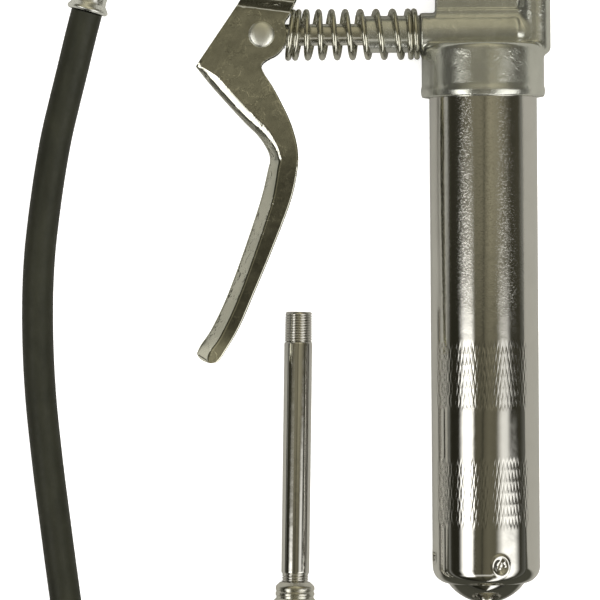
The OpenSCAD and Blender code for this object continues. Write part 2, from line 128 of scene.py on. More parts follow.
class Graph:
    """Short ways to add nodes to one node tree."""

    def __init__(self, tree):
        self.tree = tree

    def set(self, socket, value):
        if isinstance(value, bpy.types.NodeSocket):
            self.tree.links.new(value, socket)
        else:
            socket.default_value = value

    def add(self, kind, inputs=None, **settings):
        node = self.tree.nodes.new(kind)
        for key, value in settings.items():
            setattr(node, key, value)
        for key, value in (inputs or {}).items():
            self.set(node.inputs[key], value)
        return node

    def math(self, operation, *values):
        node = self.add("ShaderNodeMath", operation=operation)
        for socket, value in zip(node.inputs, values):
            self.set(socket, value)
        return node.outputs[0]

    def times(self, a, b):
        return self.math("MULTIPLY", a, b)

    def plus(self, a, b):
        return self.math("ADD", a, b)

    def shade(self, colour, share):
        """A colour made darker or brighter by a share."""
        node = self.add("ShaderNodeVectorMath", {0: colour, "Scale": share}, operation="SCALE")
        return node.outputs["Vector"]

    def split(self, vector):
        """The X, Y and Z of a vector."""
        return self.add("ShaderNodeSeparateXYZ", {"Vector": vector}).outputs

    def rise(self, value, low, high, bottom=0.0, top=1.0):
        """A smooth step from bottom at low to top at high."""
        node = self.add("ShaderNodeMapRange", interpolation_type="SMOOTHSTEP")
        for key, number in (("Value", value), ("From Min", low), ("From Max", high),
                            ("To Min", bottom), ("To Max", top)):
            self.set(node.inputs[key], number)
        return node.outputs["Result"]

    def band(self, value, low, high, soft):
        """1 between low and high, with soft edges."""
        return self.times(self.rise(value, low - soft, low + soft),
                          self.rise(value, high + soft, high - soft))

    def place(self, scale=(1, 1, 1), turn=(0, 0, 0)):
        """Object coordinates, scaled: scale is features per metre along each axis."""
        coords = self.add("ShaderNodeTexCoord").outputs["Object"]
        mapping = self.add("ShaderNodeMapping", {"Vector": coords})
        mapping.inputs["Scale"].default_value = scale
        mapping.inputs["Rotation"].default_value = turn
        return mapping.outputs["Vector"]

    def noise(self, scale, detail=3.0, rough=0.5, warp=0.0, **place):
        if not hasattr(scale, "__len__"):
            scale = (scale,) * 3
        node = self.add("ShaderNodeTexNoise", {
            "Vector": self.place(scale=scale, **place), "Scale": 1.0, "Detail": detail,
            "Roughness": rough, "Distortion": warp})
        return node.outputs["Fac"]

    def cells(self, scale):
        """Distance from the middle of the nearest of many small cells."""
        node = self.add("ShaderNodeTexVoronoi", {"Vector": self.place((scale,) * 3), "Scale": 1.0})
        return node.outputs["Distance"]

    def ramp(self, value, stops):
        """Colours at places from 0 to 1. stops is a list of (place, colour)."""
        node = self.add("ShaderNodeValToRGB")
        elements = node.color_ramp.elements
        while len(elements) < len(stops):
            elements.new(0.5)
        for element, (place, colour) in zip(elements, stops):
            element.position = place
            element.color = (*colour, 1)
        self.set(node.inputs["Fac"], value)
        return node.outputs["Color"]

    def bump(self, height, depth, after=None):
        """Bump of a height from 0 to 1, depth metres deep."""
        inputs = {"Height": height, "Strength": 1.0, "Distance": depth}
        if after is not None:
            inputs["Normal"] = after
        return self.add("ShaderNodeBump", inputs).outputs["Normal"]


def new_material(name):
    material = bpy.data.materials.new(name)
    material.use_nodes = True
    graph = Graph(material.node_tree)
    return material, graph, material.node_tree.nodes["Principled BSDF"]


def plated_metal(name, colour, dark, rough, wave=0.0, wave_scale=150, grain=0.0, grain_scale=900,
                 streak=None, spots=0.0, specks=0.0, pits=0.0, metal=1.0, painted_grip_shade=False):
    """Plated metal: two near colours in soft patches, uneven gloss, waves, grain and drawn streaks.

    spots are shallow dents, specks small ones in patches, pits a frosting above the grip of the
    barrel and metal the mirroring share. With the last switch on, the lever's flat sides in the grip get
    painted shade and its tip a painted highlight that makes it paler."""
    material, g, shader = new_material(name)
    shader.inputs["Metallic"].default_value = metal
    patches = g.noise(90, 4, 0.6, 0.4)
    tint = g.ramp(patches, [(0.3, dark), (0.7, colour)])
    # painted shade: the flat sides in the grip are darkened, unevenly, and a painted highlight makes the
    # tip paler
    if painted_grip_shade:
        height = g.split(g.place())["Y"]
        facing = g.split(g.add("ShaderNodeTexCoord").outputs["Normal"])["Z"]
        flat = g.rise(g.math("ABSOLUTE", facing), 0.95, 0.995)
        uneven = g.rise(g.noise(220, 4, 0.7), 0.3, 0.7, -0.1, 0.1)
        grip_painted_shade = g.times(g.rise(height, -0.070, -0.086, 0.0, 0.56), g.rise(height, -0.150, -0.138))
        grip_painted_shade = g.times(g.plus(grip_painted_shade, uneven), flat)
        tip_painted_highlight = g.rise(height, -0.142, -0.151, 0.0, 0.45)
        share = g.plus(g.math("SUBTRACT", 1.0, grip_painted_shade), tip_painted_highlight)
        tint = g.shade(tint, share)
    g.set(shader.inputs["Base Color"], tint)
    gloss = g.noise(260, 5, 0.65)
    g.set(shader.inputs["Roughness"], g.rise(gloss, 0.25, 0.75, rough[0], rough[1]))
    normal = None
    if wave:
        normal = g.bump(g.noise(wave_scale, 2, 0.4, 0.2), wave, normal)
    if streak:
        normal = g.bump(g.noise(streak[0], 3, 0.6), streak[1], normal)
    if grain:
        normal = g.bump(g.noise(grain_scale, 4, 0.7), grain, normal)
    if spots:
        normal = g.bump(g.rise(g.cells(420), 0.1, 0.22), spots, normal)
    if specks:
        dents = g.rise(g.cells(850), 0.05, 0.3)
        where = g.rise(g.noise(180, 3), 0.5, 0.62)
        normal = g.bump(g.times(dents, where), specks, normal)
    if pits:
        above = g.rise(g.split(g.place())["Y"], -0.150, -0.128)
        fine = g.rise(g.noise(1300, 3, 0.7), 0.48, 0.72)
        normal = g.bump(g.times(fine, above), pits, normal)
    if normal is not None:
        g.set(shader.inputs["Normal"], normal)
    return material


def rubber(name, colour, dull, rough):
    """Moulded or extruded rubber: matte, with a fine grain and dull patches."""
    material, g, shader = new_material(name)
    patches = g.noise((120, 60, 120), 4, 0.6, 0.3)
    g.set(shader.inputs["Base Color"], g.ramp(patches, [(0.35, colour), (0.72, dull)]))
    g.set(shader.inputs["Roughness"], g.rise(g.noise(500, 3), 0.3, 0.7, rough[0], rough[1]))
    shader.inputs["Specular IOR Level"].default_value = 0.3
    fine = g.bump(g.noise(1800, 3, 0.6), 0.00006)
    g.set(shader.inputs["Normal"], g.bump(g.noise((260, 90, 260), 3), 0.00010, fine))
    return material


CHROME = plated_metal("chrome", (0.64, 0.63, 0.60), (0.60, 0.59, 0.56), (0.05, 0.09),
                      wave=0.00002, wave_scale=160, streak=((700, 25, 700), 0.000004))
BARREL = plated_metal("barrel_chrome", (0.64, 0.63, 0.60), (0.60, 0.59, 0.56), (0.06, 0.10),
                      wave=0.00002, wave_scale=160, streak=((700, 25, 700), 0.000004), pits=0.000007)
CAST = plated_metal("nickel_casting", (0.61, 0.615, 0.565), (0.52, 0.525, 0.475), (0.16, 0.27),
                    wave=0.00007, wave_scale=120, grain=0.000025, grain_scale=1100, spots=0.000012,
                    specks=0.00003, metal=0.94)
# the pressed sheet gets painted shade on its flat sides in the grip and a painted highlight on its tip
SHEET = plated_metal("pressed_sheet", (0.66, 0.655, 0.58), (0.58, 0.575, 0.50), (0.09, 0.17),
                     wave=0.00010, wave_scale=60, grain=0.000008, grain_scale=900, specks=0.00005,
                     painted_grip_shade=True)
ZINC = plated_metal("zinc_plate", (0.68, 0.67, 0.61), (0.60, 0.59, 0.53), (0.16, 0.26),
                    wave=0.00002, wave_scale=300, grain=0.00001)
WIRE = plated_metal("spring_wire", (0.62, 0.61, 0.53), (0.52, 0.51, 0.44), (0.14, 0.24),
                    wave=0.00001, wave_scale=500, grain=0.00001)
RIVET = plated_metal("rivet_satin", (0.80, 0.80, 0.74), (0.72, 0.72, 0.66), (0.34, 0.44),
                     wave=0.00003, wave_scale=400, grain=0.00003, grain_scale=1500)
CRIMP = plated_metal("crimp_zinc", (0.86, 0.87, 0.84), (0.78, 0.79, 0.76), (0.22, 0.34),
                     wave=0.00003, wave_scale=300, grain=0.00001)
SEAL = rubber("seal_rubber", (0.020, 0.020, 0.020), (0.035, 0.035, 0.034), (0.45, 0.6))
HOSE_RUBBER = rubber("hose_rubber", (0.011, 0.0115, 0.007), (0.019, 0.0195, 0.012), (0.42, 0.55))


# ---------------------------------------------------------------- mesh tools

def smooth(value, low, high):
    """0 at low, 1 at high and a smooth rise between them."""
    t = np.clip((value - low) / (high - low), 0, 1)
    return t * t * (3 - 2 * t)


def spline(points, steps):
    """Smooth curve through points (Catmull-Rom), with steps pieces in each span."""
    p = np.array(points, float)
    p = np.vstack([p[:1], p, p[-1:]])
    made = []
    for i in range(len(p) - 3):
        a, b, c, d = p[i:i + 4]
        for t in np.arange(steps) / steps:
            made.append(0.5 * (2 * b + (c - a) * t + (2 * a - 5 * b + 4 * c - d) * t * t
                               + (3 * b - 3 * c + d - a) * t ** 3))
    made.append(p[-2])
    return np.array(made)


def resample(points, count):
    """The same line with count points, evenly spaced."""
    points = np.asarray(points, float)
    steps = np.linalg.norm(np.diff(points, axis=0), axis=1)
    along = np.concatenate([[0], np.cumsum(steps)])
    at = np.linspace(0, along[-1], count)
    return np.stack([np.interp(at, along, points[:, k]) for k in range(points.shape[1])], 1)


def around(sides):
    """Angles of evenly spaced points round a circle, in radians."""
    return np.arange(sides) * 2 * np.pi / sides


def circle(radius, z, sides):
    """A ring of points about local Z. radius and z are single numbers or one for each point."""
    angle = around(sides)
    return np.stack([radius * np.cos(angle), radius * np.sin(angle), z * np.ones(sides)], 1)


def add_mesh(name, points, faces, material, sharp=35):
    """A mesh object from points in millimetres."""
    mesh = bpy.data.meshes.new(name)
    mesh.from_pydata((np.asarray(points) * MM).tolist(), [], [list(map(int, f)) for f in faces])
    mesh.validate()
    mesh.shade_smooth()
    mesh.set_sharp_from_angle(angle=math.radians(sharp))
    mesh.materials.append(material)
    obj = bpy.data.objects.new(name, mesh)
    scene.collection.objects.link(obj)
    return obj


def fit(obj, body, slot, *nodes):
    """The piece rides on a CAD body and stands for CAD nodes. slot is not used."""
    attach(obj, body)
    if nodes:
        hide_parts(*nodes)
    return obj


def rings(rows, closed_loop=False, capped=True):
    """Points and faces of a skin over rings that have the same number of points.

    closed_loop joins the last ring to the first, as in a piece with a hole through it. Otherwise each end
    is closed by a fan, unless capped is False."""
    rows = [np.asarray(r, float) for r in rows]
    n, count = len(rows[0]), len(rows)
    points = np.vstack(rows)
    faces = []
    for i in range(count if closed_loop else count - 1):
        a, b = i * n, ((i + 1) % count) * n
        faces += [(a + k, a + (k + 1) % n, b + (k + 1) % n, b + k) for k in range(n)]
    if not closed_loop and capped:
        points = np.vstack([points, rows[0].mean(0), rows[-1].mean(0)])
        first, last = len(points) - 2, len(points) - 1
        end = (count - 1) * n
        faces += [(first, (k + 1) % n, k) for k in range(n)]
        faces += [(last, end + k, end + (k + 1) % n) for k in range(n)]
    return points, faces


def rounded(corners, steps=5):
    """A line of (radius, height) points with its corners rounded. corners are (r, z, rounding)."""
    made = []
    pts = np.array([c[:2] for c in corners], float)
    for i, (r, z, fillet) in enumerate(corners):
        here = pts[i]
        if fillet <= 0 or i in (0, len(corners) - 1):
            made.append(here)
            continue
        back, ahead = pts[i - 1] - here, pts[i + 1] - here
        lb, la = np.linalg.norm(back), np.linalg.norm(ahead)
        back, ahead = back / lb, ahead / la
        half = math.acos(float(np.clip(back @ ahead, -1, 1))) / 2
        reach = min(fillet / math.tan(half), 0.49 * lb, 0.49 * la)
        start, end = here + back * reach, here + ahead * reach
        for t in np.linspace(0, 1, steps + 1):
            made.append((1 - t) ** 2 * start + 2 * t * (1 - t) * here + t * t * end)
    return np.array(made)


def turned(profile, sides=96, wobble=None):
    """Rings of a turned shape about local Z. wobble(angle, z, r) is added to the radius r."""
    rows = []
    for r, z in profile:
        radius = np.full(sides, float(r))
        if wobble is not None:
            radius = radius + wobble(around(sides), z, r)
        rows.append(circle(radius, z, sides))
    return rows


def axes(origin, direction, side):
    """A placing function: local Z runs along direction from origin, local X near side."""
    w = np.array(direction, float) / np.linalg.norm(direction)
    u = np.array(side, float) - np.dot(side, w) * w
    u /= np.linalg.norm(u)
    v = np.cross(w, u)
    origin = np.array(origin, float)
    return lambda points: origin + np.asarray(points) @ np.stack([u, v, w])


def turned_piece(name, corners, placed, material, sides=96, solid=True, wobble=None, steps=5,
                 sharp=35):
    """A turned piece. Its outline goes round a wall (solid False) or starts and ends on the axis."""
    profile = rounded(corners, steps)
    points, faces = rings(turned(profile, sides, wobble), closed_loop=not solid, capped=solid)
    return add_mesh(name, placed(points), faces, material, sharp)


def thread(radius, depth, pitch, start, end):
    """Radius taken off by a helical groove between start and end, fading out at both ends."""
    def wobble(angle, z, r):
        phase = (z / pitch - angle / (2 * np.pi)) % 1
        groove = np.clip(1 - np.abs(phase - 0.5) / 0.3, 0, 1)
        fade = smooth(z, start, start + pitch) * smooth(z, end, end - 0.6 * pitch)
        near = np.abs(r - radius) < 0.4
        return -depth * near * fade * groove
    return wobble


def tube_skin(path, radius, sides, sideways):
    """Rings round a path, without twist. sideways is a direction across the start of the path."""
    path = np.asarray(path, float)
    heading = np.gradient(path, axis=0)
    heading /= np.linalg.norm(heading, axis=1)[:, None]
    side = np.array(sideways, float)
    angle = around(sides)
    rows = []
    for p, h, r in zip(path, heading, np.broadcast_to(radius, len(path))):
        side = side - (side @ h) * h
        side /= np.linalg.norm(side)
        up = np.cross(h, side)
        rows.append(p + r * (np.cos(angle)[:, None] * side + np.sin(angle)[:, None] * up))
    return rows


# ---------------------------------------------------------------- hose

HOSE_R = 5.75
HOSE_ROUTE = [
    (-60.55, -24.1, -14.9), (-63.25, -34, -15.6), (-66.3, -46, -16.4), (-69.4, -58, -16.8),
    (-72.3, -70, -16.8), (-74.9, -84, -16.8), (-77, -98, -16.8), (-78.7, -112, -16.8),
    (-79.6, -126, -16.8), (-79.8, -140, -16.8), (-79.5, -154, -16.8), (-78.7, -168, -16.8),
    (-77.4, -182, -16.8), (-75.9, -196, -16.8), (-74.2, -210, -16.8), (-72.5, -224, -16.8),
    (-70.7, -238, -16.5), (-68.8, -252, -15.7), (-67.1, -264, -14.9), (-66.2, -270.5, -14.5)]


def make_hose():
    path = spline(HOSE_ROUTE, 8)
    points, faces = rings(tube_skin(path, HOSE_R, 48, (1, 0, 0)))
    hose = add_mesh("hose_rubber_tube", points, faces, HOSE_RUBBER, 50)
    fit(hose, "hose", "hose_rubber", "hose")
    return hose, path


hose, hose_path = make_hose()


# ---------------------------------------------------------------- barrel

KNURL_BANDS = ((-170.3, -145.4), (-212.8, -187.5))
KNURL_LINES = 88
KNURL_LEAN = math.tan(math.radians(9.5))
KNURL_DEPTH = 0.03
DIMPLES = ((-80, -223.9), (12.6, -226.4), (103, -229.4), (193, -226.6))
SHOULDER_R = 6.0


def knurl(angle, y):
    """Depth of the rolled diamond pattern at an angle round the barrel (radians) and a height."""
    fade = sum(smooth(y, low - 0.6, low + 2.2) * smooth(y, high + 0.6, high - 2.2)
               for low, high in KNURL_BANDS)
    shift = (y + 150) * KNURL_LEAN / BARREL_R
    lines = [np.abs(((angle + s * shift) * KNURL_LINES / (2 * np.pi)) % 1 - 0.5) * 2 for s in (1, -1)]
    grooves = [1 - smooth(g, 0.0, 0.55) for g in lines]
    return -KNURL_DEPTH * fade * np.maximum(grooves[0], grooves[1])


def dimples(angle, y):
    """Depth of the punched dimples that hold the end cap, with a slightly raised rim."""
    depth = np.zeros(np.broadcast(angle, y).shape)
    for centre, height in DIMPLES:
        across = (angle - math.radians(centre) + np.pi) % (2 * np.pi) - np.pi
        across = across * BARREL_R / 3.0
        along = (y - height) / 3.6
        away = np.sqrt(across ** 2 + along ** 2)
        cup = -0.95 * (1 - smooth(away, 0.35, 0.95)) + 0.12 * np.exp(-((away - 1.05) / 0.16) ** 2)
        rough = 0.05 * np.sin(9 * across + 5 * along + centre) * np.sin(11 * along - 4 * across)
        depth += cup + rough * (1 - smooth(away, 0.5, 0.85))
    return depth


def make_barrel():
    sides = 704
    # angle 0 faces the camera (+Z) and grows towards +X
    angle = around(sides)
    bottom = BARREL_END + SHOULDER_R
    fine = 0.42  # the knurled bands have rows this close
    heights = [np.arange(bottom, -220, 0.3), np.arange(-220, -214, 1.0)]
    heights += [np.arange(-213.8, -186.5, fine), np.linspace(-186, -172.5, 9)]
    heights += [np.arange(-171.6, -144, fine), np.linspace(-144, BARREL_TOP - 1, 24)]
    rows = []

    def ring(radius, y, sink=0.0):
        r = radius + sink
        rows.append(np.stack([BARREL_X + r * np.sin(angle), np.broadcast_to(y, sides).astype(float),
                              r * np.cos(angle)], 1))

    wall = 1.0
    lip = 15.0
    ring(lip, BARREL_END + 1.2)
    ring(lip, BARREL_END + 0.5)
    for turn in np.radians(np.arange(16.5, 90, 5)):
        y = bottom - SHOULDER_R * math.cos(turn)
        ring(BARREL_R - SHOULDER_R * (1 - math.sin(turn)), y, dimples(angle, y) * math.sin(turn))
    for y in np.concatenate(heights):
        ring(BARREL_R, y, knurl(angle, y) + dimples(angle, y))
    ring(BARREL_R, BARREL_TOP - 0.3)
    ring(BARREL_R - 0.3, BARREL_TOP)
    ring(BARREL_R - wall, BARREL_TOP)
    for y in np.linspace(BARREL_TOP - 1, -215, 20):
        ring(BARREL_R - wall, y)
    for y in np.arange(-216, bottom, -1.0):
        ring(BARREL_R - wall, y, np.minimum(dimples(angle, y), 0))
    for turn in np.radians(np.arange(90, 18, -10)):
        y = bottom - (SHOULDER_R - wall) * math.cos(turn)
        ring(BARREL_R - SHOULDER_R + (SHOULDER_R - wall) * math.sin(turn), y)
    points, faces = rings(rows, closed_loop=True)
    barrel = add_mesh("barrel_shell", points, faces, BARREL, 50)
    return fit(barrel, "barrel", "chrome_plate", "barrel_tube")


about_barrel = axes((BARREL_X, 0, 0), (0, 1, 0), (0, 0, 1))


def make_end_cap():
    low = dome_low[1]
    dome_r = 17.0
    centre = low + dome_r
    edge = BARREL_END + 3.2
    outer = [(dome_r * math.sin(a), centre - dome_r * math.cos(a), 0)
             for a in np.linspace(math.asin(3.15 / dome_r), math.acos((centre - edge) / dome_r), 26)]
    inner = [(r * 0.93, z + 1.0, 0) for r, z, _ in outer[::-1]]
    skirt = [(17.4, edge + 3.2, 0.8), (17.4, BARREL_END + 12.8, 0.2), (16.4, BARREL_END + 12.8, 0.2),
             (16.4, edge + 4.0, 0.6)]
    cap = turned_piece("end_cap_dome", outer + skirt + inner[:-1] + [(3.15, inner[-1][1], 0)],
                       about_barrel, CHROME, solid=False, sides=128)
    return fit(cap, "barrel", "chrome_plate", "barrel_end_cap")


def make_rod():
    low, high = box_mm("follower_rod")
    corners = [(0, low[1], 0), (3, low[1], 0.4), (3, high[1], 0.6), (0, high[1], 0)]
    rod = turned_piece("follower_rod_bar", corners, about_barrel, ZINC, sides=48)
    fit(rod, "follower", "plated_steel", "follower_rod")
    low, high = knob_low[1], knob_high[1]
    ridges = 36

    def grip(angle, z, r):
        return -0.35 * (r > 9.5) * np.abs(np.sin(angle * ridges / 2)) ** 3
    corners = [(0, low, 0), (7.8, low, 1.2), (10, low + 1.6, 0.6), (10, low + 3.6, 0.6),
               (7.6, low + 5.1, 0.8), (4.8, high - 4.2, 1.2), (3.9, high - 2.6, 0.6),
               (3.9, high, 0.3), (3.05, high, 0.1), (3.05, high - 4, 0.1), (0, high - 4, 0)]
    knob = turned_piece("pull_knob", corners, about_barrel, CHROME, sides=216, wobble=grip)
    fit(knob, "follower", "chrome_plate", "rod_knob")


# ---------------------------------------------------------------- springs

def coil_path(r, wire, length, turns, closed, steps, lean=0.0, start=0.0, even=1.0):
    """Centre line of a spring along local Z with closed end coils, as the CAD springs are made.

    lean tips the first coils towards local Y, start is the angle of the wire's end, and even below 1
    brings the coils closer together at the low end."""
    t = np.linspace(0, turns, int(turns * steps) + 1)
    angle = math.radians(start) + 2 * np.pi * t
    open_turns = turns - 2 * closed
    shut = wire * 1.06
    pitch = (length - wire - shut * 2 * closed) / open_turns
    u = np.clip((t - closed) / open_turns, 0, 1)
    rise = (shut * np.minimum(t, closed) + pitch * open_turns * (even * u + (1 - even) * u * u)
            + shut * np.maximum(0, t - closed - open_turns))
    sway = lean * r * np.sin(angle) * np.maximum(0, 1 - t / 5.25)
    return np.stack([r * np.cos(angle), r * np.sin(angle), wire / 2 + rise + sway], 1)


def spring_piece(name, placed, body, node, r, wire, length, turns, closed,
                 lean=0.0, start=0.0, even=1.0, steps=40, sides=14):
    path = coil_path(r, wire, length, turns, closed, steps, lean, start, even)
    points, faces = rings(tube_skin(path, wire / 2, sides, (1, 0, 0)))
    spring = fit(add_mesh(name, placed(points), faces, WIRE, 60), body, "spring_wire", node)
    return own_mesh(spring)


def make_springs():
    start, end = 12.6, spring_high[0]
    length = end - start
    spring_piece("return_spring_coil", axes((start, PUMP_Y, 0), (1, 0, 0), (0, 0, -1)), "head",
                 "return_spring",
                 8.35, 2.1, length, 10.5, 1.65, lean=0.2,
                 start=90, even=0.84, steps=48, sides=20)
    low, high = box_mm("follower_spring")
    length = high[1] - low[1]
    spring_piece("follower_spring_coil", axes((BARREL_X, low[1], 0), (0, 1, 0), (1, 0, 0)), "barrel",
                 "follower_spring",
                 9.5, 1.6, length, 17, 1.5, sides=12)
    low, high = box_mm("check_spring")
    x, length = (low[0] + high[0]) / 2, high[1] - low[1]
    spring_piece("check_spring_coil", axes((x, low[1], 0), (0, 1, 0), (1, 0, 0)), "head",
                 "check_spring",
                 2.1, 0.6, length, 9, 1, steps=24, sides=8)


# ---------------------------------------------------------------- head casting

def union(a, b, blend):
    """Smooth union of two distances, with a fillet of about blend millimetres."""
    h = np.maximum(blend - np.abs(a - b), 0) / blend
    return np.minimum(a, b) - h * h * blend / 4


def block(x, y, z, low, high, rounding):
    """Distance to a box with rounded edges."""
    parts = []
    for value, lo, hi in zip((x, y, z), low, high):
        parts.append(np.abs(value - (lo + hi) / 2) - (hi - lo) / 2 + rounding)
    outside = np.sqrt(sum(np.maximum(p, 0) ** 2 for p in parts))
    return outside + np.minimum(np.maximum(np.maximum(parts[0], parts[1]), parts[2]), 0) - rounding


def bar(across, along, low, high, radius, rounding):
    """Distance to a round bar: across is the distance from its axis, along the place on it."""
    a = across - radius + rounding
    b = np.abs(along - (low + high) / 2) - (high - low) / 2 + rounding
    return (np.sqrt(np.maximum(a, 0) ** 2 + np.maximum(b, 0) ** 2)
            + np.minimum(np.maximum(a, b), 0) - rounding)


def head_distance(x, y, z):
    """Distance to the head casting's skin, negative inside."""
    round_barrel = np.hypot(x - BARREL_X, z)
    collar = np.maximum(bar(round_barrel, y, -70, -37.8, 22.25, 2.4), COLLAR_END - y)
    bead = np.hypot(round_barrel - (BEAD_R - 2.2), y - COLLAR_END - 2.1) - 2.1
    collar = union(collar, bead, 0.9)
    about_pump = np.hypot(y - PUMP_Y, z)
    pump = bar(about_pump, x, 61.2, 97, 7.7, 0.8)
    pump = union(pump, np.sqrt((x - 95.5) ** 2 + (y - PUMP_Y) ** 2 + z ** 2) - 7.7, 0.5)
    nose = bar(about_pump, x, 41, 70, 6.75, 0.7)
    column_x, column_r = 102.8, 5.8
    flat = np.hypot(x - column_x, np.maximum(np.abs(z) - 1.7, 0))
    column = bar(flat, y, -41.8, 8.4, column_r, 2.6)
    panel = block(x, y, z, (66.8, -36, -3.6), (104, 2, 3.6), 0.7)
    rim = block(x, y, z, (66.8, -36, -4.6), (98, -25.3, 4.6), 0.4)
    arm = bar(np.hypot(y, z), x, 0, 104, 7.5, 1.0)
    arm = union(arm, np.sqrt((x - 101.1) ** 2 + y ** 2 + z ** 2) - 7.5, 0.5)
    lug = bar(np.hypot(x - PIVOT[0], y - PIVOT[1]), z, -7.5, 7.5, 6.3, 0.6)
    neck = block(x, y, z, (PIVOT[0] - 6.3, PIVOT[1], -7.5), (PIVOT[0] + 6.3, 0, 7.5), 0.6)
    body = union(union(panel, rim, 0.5), pump, 1.0)
    body = union(body, column, 1.8)
    body = union(body, arm, 2.2)
    body = union(body, union(lug, neck, 1.0), 2.0)
    body = union(body, nose, 0.5)
    body = union(body, collar, 1.3)
    holes = [bar(round_barrel, y, -80, -41, BARREL_R + 0.05, 0),
             bar(about_pump, x, 30, column_x, 4.2, 0), bar(about_pump, x, 30, 44, 5.5, 0),
             bar(np.hypot(y, z), x, -5, 11, 4.6, 0), bar(np.hypot(y, z), x, 5, column_x, 2.0, 0),
             bar(np.hypot(x - PIVOT[0], y - PIVOT[1]), z, -12, 12, 2.55, 0),
             bar(np.hypot(x - column_x, z), y, 3.6, 12, 4.0, 0),
             bar(np.hypot(x - column_x, z), y, -27.5, 6, 3.2, 0),
             bar(np.hypot(x - column_x, z), y, -34, -20, 2.0, 0),
             bar(np.hypot(x - 76.5, z), y, -42, -34, 2.2, 0)]
    for hole in holes:
        body = np.maximum(body, -hole)
    return body


def surface_net(field, low, cell):
    """Quads over the zero level of a grid of distances: one point in each cell that it crosses."""
    inside = field < 0
    nx, ny, nz = np.array(field.shape) - 1
    count = np.zeros((nx, ny, nz), np.int8)
    for i, j, k in itertools.product((0, 1), repeat=3):
        count += inside[i:i + nx, j:j + ny, k:k + nz]
    mixed = (count > 0) & (count < 8)
    index = np.full(mixed.shape, -1, np.int64)
    index[mixed] = np.arange(mixed.sum())
    cells = np.argwhere(mixed)
    total = np.zeros(cells.shape)
    hits = np.zeros(len(cells))
    for axis in range(3):
        others = [a for a in range(3) if a != axis]
        for a, b in itertools.product((0, 1), repeat=2):
            start = cells.copy()
            start[:, others[0]] += a
            start[:, others[1]] += b
            end = start.copy()
            end[:, axis] += 1
            f0, f1 = field[tuple(start.T)], field[tuple(end.T)]
            cross = (f0 < 0) != (f1 < 0)
            t = np.where(cross, f0 / np.where(cross, f0 - f1, 1), 0)
            point = start.astype(float)
            point[:, axis] += t
            total += point * cross[:, None]
            hits += cross
    points = np.array(low) + cell * total / hits[:, None]
    faces = []
    for axis in range(3):
        u, v = (axis + 1) % 3, (axis + 2) % 3
        here = [slice(1, -1)] * 3
        here[axis] = slice(0, -1)
        ahead = list(here)
        ahead[axis] = slice(1, None)
        a, b = inside[tuple(here)], inside[tuple(ahead)]
        for flip, edges in ((False, a & ~b), (True, b & ~a)):
            at = np.argwhere(edges)
            at[:, u] += 1
            at[:, v] += 1
            corners = []
            for du, dv in ((-1, -1), (0, -1), (0, 0), (-1, 0)):
                c = at.copy()
                c[:, u] += du
                c[:, v] += dv
                corners.append(index[tuple(c.T)])
            quads = np.stack(corners, 1)
            faces.append(quads[:, ::-1] if flip else quads)
    return points, np.vstack(faces)


def make_head():
    cell = 0.42
    low = np.array([-1.5, COLLAR_END - 1.5, -BEAD_R - 1.2])
    high = np.array([110.5, 14.0, BEAD_R + 1.2])
    shape = np.ceil((high - low) / cell).astype(int) + 1
    x, y, z = (low[k] + cell * np.arange(shape[k], dtype=np.float32) for k in range(3))
    field = head_distance(x[:, None, None], y[None, :, None], z[None, None, :])
    points, faces = surface_net(field, low, cell)
    head = add_mesh("head_body", points, faces, CAST, 80)
    fit(head, "head", "nickel_casting", "head_casting")
    return head


def hexagon(apothem, height, hole, placed, name, material):
    """A chamfered hexagon with a round hole, from local Z 0 to height."""
    sides = 96
    flat = apothem / np.cos((around(sides) + np.pi / 6) % (np.pi / 3) - np.pi / 6)
    rim = apothem * 0.97
    chamfer = (flat - rim) * 0.5
    levels = [(hole, 0), (rim, 0), (flat, chamfer), (flat, height - chamfer), (rim, height), (hole, height)]
    points, faces = rings([circle(r, z, sides) for r, z in levels], closed_loop=True)
    return add_mesh(name, placed(points), faces, material, 20)


def make_check_plug():
    low, high = box_mm("check_plug")
    x = (low[0] + high[0]) / 2
    top = head_high[1]
    placed = axes((x, top + 0.05, 0), (0, 1, 0), (1, 0, 0))
    head = hexagon(5.6, high[1] - top - 0.05, 0.01, placed, "check_plug_head", ZINC)
    fit(head, "head", "plated_steel", "check_plug")
    corners = [(0, -4.6, 0), (3.7, -4.6, 0.3), (3.9, 0.4, 0), (0, 0.4, 0)]
    shank = turned_piece("check_plug_shank", corners, placed, ZINC, sides=48)
    fit(shank, "head", "plated_steel")


def make_port_thread():
    """Female pipe thread in the outlet port."""
    depth, lead_in = 0.35, 0.35
    crest_r, outside_r = 4.55, 5.2
    heights = np.arange(0.0, 10.4, PITCH / 8)
    sides = 64
    rows = [circle(outside_r, heights[0], sides)]
    for z in heights:
        phase = (z / PITCH - around(sides) / (2 * np.pi)) % 1
        r = crest_r + depth * np.abs(2 * phase - 1) + lead_in * (1 - smooth(z, 0, 1.2))
        rows.append(circle(r, z, sides))
    rows.append(circle(outside_r, heights[-1], sides))
    points, faces = rings(rows, closed_loop=True)
    placed = axes((0.35, 0, 0), (1, 0, 0), (0, 0, 1))
    port = add_mesh("port_thread", placed(points), faces, ZINC, 60)
    fit(port, "head", "nickel_casting")


# ---------------------------------------------------------------- lever

